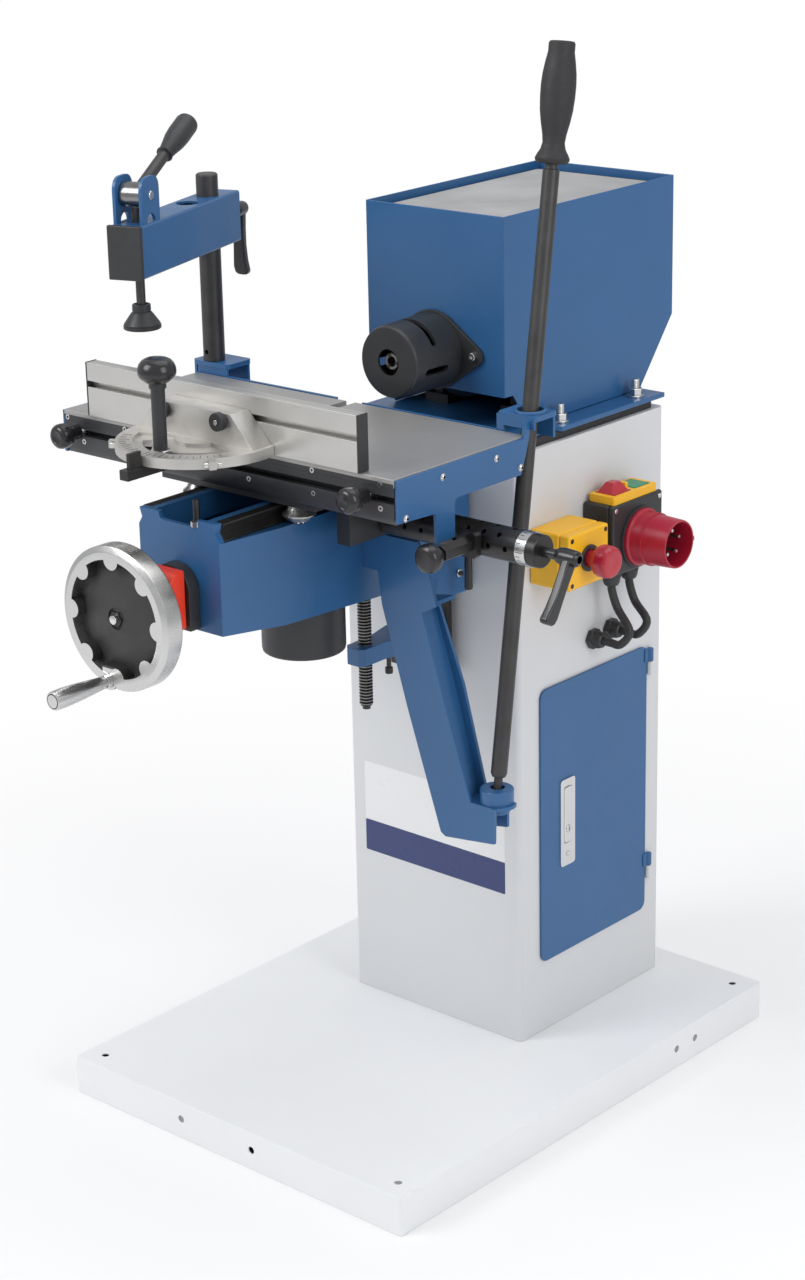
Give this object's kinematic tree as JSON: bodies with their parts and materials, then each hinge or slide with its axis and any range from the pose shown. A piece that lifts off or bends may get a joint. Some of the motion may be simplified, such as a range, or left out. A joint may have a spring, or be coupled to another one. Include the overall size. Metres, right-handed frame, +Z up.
{
  "type": "horizontal slot mortiser",
  "caption": "Floor-standing horizontal slot mortiser with a lifting knee, a lever-moved cross-slide table, a mitre gauge with a fence and a cam clamp.",
  "frame": {"origin": "middle of the base tray's footprint, on the floor", "axes": "+Z up, -Y towards the operator at the handwheel, +X towards the operator's right"},
  "size_m": [0.6864, 0.968, 1.3141],
  "materials": {
    "base_paint": "satin off-white",
    "light_paint": "fine light grey",
    "blue_paint": "satin blue",
    "black_steel": "blackened, slight sheen",
    "table_iron": "ground flat",
    "zinc": "bright",
    "aluminium": "satin",
    "polished": "polished",
    "black_plastic": "fine grain",
    "rubber": "matt",
    "orange_plastic": "gloss",
    "yellow_plastic": "satin",
    "red_plastic": "satin",
    "green_plastic": "satin"
  },
  "bodies": {
    "machine": {"base_plate": "base_paint", "cabinet_shell": "light_paint", "mount_plate": "blue_paint", "mount_frame": "black_steel", "motor_hood": "blue_paint", "motor": "black_steel", "chuck_guard": "black_plastic", "guide_way": "black_steel", "lift_bracket": "blue_paint", "estop_box": "yellow_plastic", "switch_box": "black_plastic", "power_inlet": "red_plastic", "front_cable": "rubber", "back_cable": "rubber"},
    "chuck": {"drill_chuck": "black_steel"},
    "estop": {"estop_button": "red_plastic"},
    "stop": {"stop_button": "red_plastic"},
    "start": {"start_button": "green_plastic"},
    "door": {"door_panel": "blue_paint"},
    "latch": {"door_latch": "zinc"},
    "knee": {"knee_housing": "blue_paint", "left_knee_rail": "black_steel", "right_knee_rail": "black_steel", "lever_arm": "blue_paint", "dust_port": "black_plastic", "position_indicator": "orange_plastic"},
    "knee_lock": {"lock_handle": "black_steel"},
    "wheel": {"handwheel": "polished"},
    "wheel_handle": {"wheel_grip": "polished"},
    "screw": {"lift_screw": "black_steel"},
    "carriage": {"cross_carriage": "black_steel"},
    "roller_lf": {"roller_left_front": "zinc"},
    "roller_lb": {"roller_left_back": "zinc"},
    "roller_rf": {"roller_right_front": "zinc"},
    "roller_rb": {"roller_right_back": "zinc"},
    "index": {"index_tube": "black_steel"},
    "index_handle": {"index_lever": "black_plastic"},
    "table": {"table_top": "table_iron", "front_rail": "black_steel", "back_rail": "black_steel", "column_bracket": "blue_paint", "lever_bracket": "blue_paint", "plunger_holder": "black_steel"},
    "plunger": {"index_plunger": "black_plastic"},
    "stop_left": {"left_stop": "black_plastic"},
    "stop_right": {"right_stop": "black_plastic"},
    "column": {"clamp_column": "black_steel"},
    "arm": {"clamp_arm": "blue_paint"},
    "cam": {"cam_lever": "black_steel"},
    "spindle": {"clamp_spindle": "black_plastic"},
    "arm_lock": {"arm_lock_lever": "black_plastic"},
    "gauge": {"gauge_bar": "black_steel"},
    "quadrant": {"gauge_quadrant": "aluminium", "left_fence_knob": "black_plastic", "right_fence_knob": "black_plastic"},
    "fence_body": {"fence": "aluminium"},
    "gauge_lock": {"gauge_knob": "black_plastic"},
    "seat": {"ball_seat": "zinc"},
    "lever": {"lever_rod": "black_steel", "lever_grip": "rubber"}
  },
  "joints": [
    {"name": "chuck_spin", "type": "hinge", "parent": "machine", "child": "chuck", "pos_m": [0, 0, 0.93], "axis": [0, -1, 0], "continuous": true},
    {"name": "estop_press", "type": "slide", "parent": "machine", "child": "estop", "axis": [-1, 0, 0], "range_m": [0, 0.005], "stiffness_N_per_m": 800},
    {"name": "stop_press", "type": "slide", "parent": "machine", "child": "stop", "axis": [0, 0, -1], "range_m": [0, 0.003], "stiffness_N_per_m": 600},
    {"name": "start_press", "type": "slide", "parent": "machine", "child": "start", "axis": [0, 0, -1], "range_m": [0, 0.003], "stiffness_N_per_m": 600},
    {"name": "door_swing", "type": "hinge", "parent": "machine", "child": "door", "pos_m": [0.144, 0.2885, 0.33], "axis": [0, 0, 1], "range_deg": [0, 110]},
    {"name": "latch_pull", "type": "hinge", "parent": "door", "child": "latch", "pos_m": [0.1451, 0.116, 0.3745], "axis": [0, -1, 0], "range_deg": [0, 25]},
    {"name": "knee_lift", "type": "slide", "parent": "machine", "child": "knee", "axis": [0, 0, 1], "range_m": [-0.075, 0.02]},
    {"name": "knee_lock_turn", "type": "hinge", "parent": "knee", "child": "knee_lock", "pos_m": [0.101, -0.02, 0.722], "axis": [1, 0, 0], "range_deg": [-60, 20]},
    {"name": "handwheel_spin", "type": "hinge", "parent": "knee", "child": "wheel", "pos_m": [0, -0.49, 0.733], "axis": [0, 1, 0], "range_deg": [-6750, 1800]},
    {"name": "wheel_grip_spin", "type": "hinge", "parent": "wheel", "child": "wheel_handle", "pos_m": [-0.014, -0.54, 0.659], "axis": [0, 1, 0], "continuous": true},
    {"name": "lift_screw_spin", "type": "hinge", "parent": "knee", "child": "screw", "pos_m": [0, -0.096, 0.6], "axis": [0, 0, 1], "range_deg": [-6750, 1800]},
    {"name": "cross_slide", "type": "slide", "parent": "knee", "child": "carriage", "axis": [0, 1, 0], "range_m": [-0.075, 0.035]},
    {"name": "roller_left_front_spin", "type": "hinge", "parent": "carriage", "child": "roller_lf", "pos_m": [-0.0785, -0.287, 0.8165], "axis": [0, 0, 1], "range_deg": [-120, 250]},
    {"name": "roller_left_back_spin", "type": "hinge", "parent": "carriage", "child": "roller_lb", "pos_m": [-0.0785, -0.15, 0.8165], "axis": [0, 0, 1], "range_deg": [-120, 250]},
    {"name": "roller_right_front_spin", "type": "hinge", "parent": "carriage", "child": "roller_rf", "pos_m": [0.0785, -0.287, 0.8165], "axis": [0, 0, 1], "range_deg": [-250, 120]},
    {"name": "roller_right_back_spin", "type": "hinge", "parent": "carriage", "child": "roller_rb", "pos_m": [0.0785, -0.15, 0.8165], "axis": [0, 0, 1], "range_deg": [-250, 120]},
    {"name": "index_turn", "type": "hinge", "parent": "carriage", "child": "index", "pos_m": [0.2, -0.185, 0.796], "axis": [1, 0, 0], "range_deg": [-90, 90]},
    {"name": "index_lever_turn", "type": "hinge", "parent": "index", "child": "index_handle", "pos_m": [0.3453, -0.185, 0.796], "axis": [1, 0, 0], "range_deg": [-60, 60]},
    {"name": "table_slide", "type": "slide", "parent": "carriage", "child": "table", "axis": [1, 0, 0], "range_m": [-0.075, 0.075]},
    {"name": "plunger_pull", "type": "slide", "parent": "table", "child": "plunger", "axis": [0, -1, 0], "range_m": [0, 0.008], "stiffness_N_per_m": 300},
    {"name": "left_stop_slide", "type": "slide", "parent": "table", "child": "stop_left", "axis": [1, 0, 0], "range_m": [0, 0.15]},
    {"name": "right_stop_slide", "type": "slide", "parent": "table", "child": "stop_right", "axis": [1, 0, 0], "range_m": [-0.15, 0.015]},
    {"name": "column_turn", "type": "hinge", "parent": "table", "child": "column", "pos_m": [-0.257, -0.076, 1], "axis": [0, 0, 1], "range_deg": [-40, 50]},
    {"name": "arm_height", "type": "slide", "parent": "column", "child": "arm", "axis": [0, 0, 1], "range_m": [-0.08, 0.02]},
    {"name": "cam_turn", "type": "hinge", "parent": "arm", "child": "cam", "pos_m": [-0.20554, -0.24431, 1.141], "axis": [0.9563, 0.2924, 0], "range_deg": [0, 80]},
    {"name": "spindle_press", "type": "slide", "parent": "arm", "child": "spindle", "axis": [0, 0, 1], "range_m": [-0.0035, 0]},
    {"name": "arm_lock_turn", "type": "hinge", "parent": "arm", "child": "arm_lock", "pos_m": [-0.27024, -0.03268, 1.078], "axis": [-0.2924, 0.9563, 0], "range_deg": [-60, 60]},
    {"name": "gauge_slide", "type": "slide", "parent": "table", "child": "gauge", "axis": [0, 1, 0], "range_m": [-0.06, 0.025]},
    {"name": "gauge_swivel", "type": "hinge", "parent": "gauge", "child": "quadrant", "pos_m": [-0.0175, -0.342, 0.89], "axis": [0, 0, 1], "range_deg": [0, 45]},
    {"name": "fence_slide", "type": "slide", "parent": "quadrant", "child": "fence_body", "axis": [1, 0, 0], "range_m": [-0.04, 0.04]},
    {"name": "gauge_knob_turn", "type": "hinge", "parent": "gauge", "child": "gauge_lock", "pos_m": [-0.0195, -0.402, 0.95], "axis": [0, 0, 1], "range_deg": [-90, 90]},
    {"name": "lever_pitch", "type": "hinge", "parent": "knee", "child": "seat", "pos_m": [0.2531, -0.1562, 0.4762], "axis": [-1, 0, 0], "range_deg": [-9.8, 4.7]},
    {"name": "lever_roll", "type": "hinge", "parent": "seat", "child": "lever", "pos_m": [0.2531, -0.1562, 0.4762], "axis": [0, 0.9809, -0.1945], "range_deg": [-9.8, 9.8]}
  ],
  "couplings": [
    {"joint": "knee_lift", "follows": "handwheel_spin", "m_per_rad": 0.00063662},
    {"joint": "lift_screw_spin", "follows": "handwheel_spin", "ratio": 1},
    {"joint": "roller_left_front_spin", "follows": "cross_slide", "rad_per_m": -57.143},
    {"joint": "roller_left_back_spin", "follows": "cross_slide", "rad_per_m": -57.143},
    {"joint": "roller_right_front_spin", "follows": "cross_slide", "rad_per_m": 57.143},
    {"joint": "roller_right_back_spin", "follows": "cross_slide", "rad_per_m": 57.143},
    {"joint": "lever_pitch", "follows": "cross_slide", "rad_per_m": 2.24},
    {"joint": "lever_roll", "follows": "table_slide", "rad_per_m": 2.232},
    {"joint": "spindle_press", "follows": "cam_turn", "m_per_rad": -0.0025}
  ]
}
